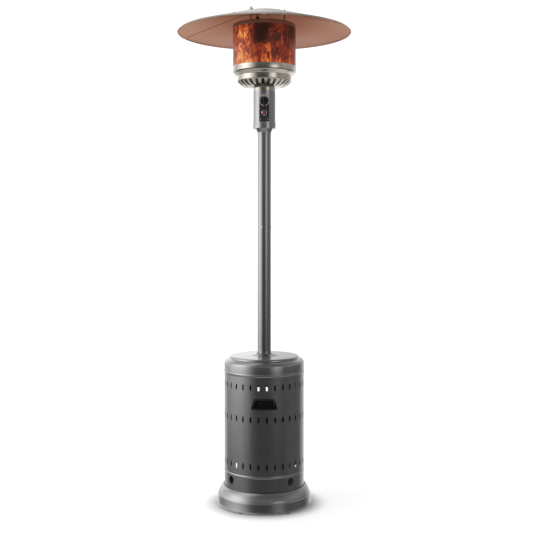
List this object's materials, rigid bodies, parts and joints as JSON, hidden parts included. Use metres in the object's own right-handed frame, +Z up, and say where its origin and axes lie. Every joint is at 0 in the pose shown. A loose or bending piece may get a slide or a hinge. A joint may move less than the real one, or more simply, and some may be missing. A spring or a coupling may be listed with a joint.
{
  "type": "outdoor heater",
  "caption": "Mushroom-style gas patio heater: domed base with a lifting tank cover, round post, control head with knob and igniter, glowing emitter screen and a wide round reflector.",
  "frame": {"origin": "on the floor, under the centre of the post", "axes": "+Z up along the post; the control panel and front grip face -Y, +X to the right as seen from the front"},
  "size_m": [0.815, 0.815, 2.311],
  "materials": {
    "grey_paint": "metallic slate-grey enamel, semi-gloss",
    "dark_paint": "dark enamel, satin",
    "stainless": "brushed stainless",
    "emitter": "heat-tinted perforated stainless",
    "zinc": "zinc-plated",
    "reflector": "polished",
    "brass": "plain",
    "black_plastic": "moulded, fine grain",
    "red_button": "gloss",
    "ceramic": "glazed",
    "rubber": "moulded",
    "panel_metal": "satin"
  },
  "bodies": {
    "stand": {"base_shell": "grey_paint", "base_feet": "rubber", "tank_deck": "grey_paint", "lower_band": "grey_paint", "support_leg_1": "grey_paint", "support_leg_2": "grey_paint", "support_leg_3": "grey_paint", "support_leg_4": "grey_paint", "leg_bolts": "zinc", "post_bracket": "grey_paint", "bracket_bolts": "zinc", "lower_post": "grey_paint", "upper_post": "grey_paint", "post_coupler": "zinc", "post_joint_screws": "zinc", "post_socket": "grey_paint", "socket_screws": "zinc", "housing_collar": "grey_paint", "collar_screws": "zinc", "control_housing": "grey_paint", "control_panel": "panel_metal", "panel_screws": "zinc", "control_valve": "brass", "valve_bonnet": "brass", "bonnet_screws": "zinc", "piezo_igniter": "black_plastic", "igniter_bezel": "panel_metal", "tilt_switch": "black_plastic", "gas_inlet": "brass", "gas_feed_pipe": "zinc", "burner_pipe": "zinc", "gas_nozzle": "brass", "venturi_tube": "stainless", "burner_plate": "stainless", "burner_head": "stainless", "pilot_burner": "stainless", "thermocouple": "brass", "igniter_electrode": "ceramic", "burner_pan": "stainless", "burner_band": "stainless", "band_screws": "zinc", "emitter_screen": "emitter", "screen_cap": "stainless", "cap_screws": "zinc", "reflector_panel_1": "reflector", "reflector_panel_2": "reflector", "reflector_panel_3": "reflector", "reflector_panel_4": "reflector", "seam_screws": "zinc", "reflector_studs": "zinc", "stud_nuts": "zinc", "reflector_wing_nuts": "zinc"},
    "tank_cover": {"cover_shell": "grey_paint", "cover_lid": "grey_paint", "grip_front": "black_plastic", "grip_back": "black_plastic"},
    "valve_plug": {"valve_plug": "brass"},
    "knob": {"control_knob": "black_plastic", "valve_spindle": "brass"},
    "igniter_button": {"igniter_button": "red_button"}
  },
  "joints": [
    {"name": "cover_lift", "type": "slide", "parent": "stand", "child": "tank_cover", "axis": [0, 0, 1], "range_m": [0, 0.42]},
    {"name": "knob_turn", "type": "hinge", "parent": "stand", "child": "valve_plug", "pos_m": [0, -0.03, 1.876], "axis": [0, -1, 0], "range_deg": [0, 180]},
    {"name": "knob_press", "type": "slide", "parent": "valve_plug", "child": "knob", "axis": [0, 1, 0], "range_m": [0, 0.005], "stiffness_N_per_m": 600},
    {"name": "igniter_press", "type": "slide", "parent": "stand", "child": "igniter_button", "axis": [0, 1, 0], "range_m": [0, 0.006], "stiffness_N_per_m": 500}
  ]
}
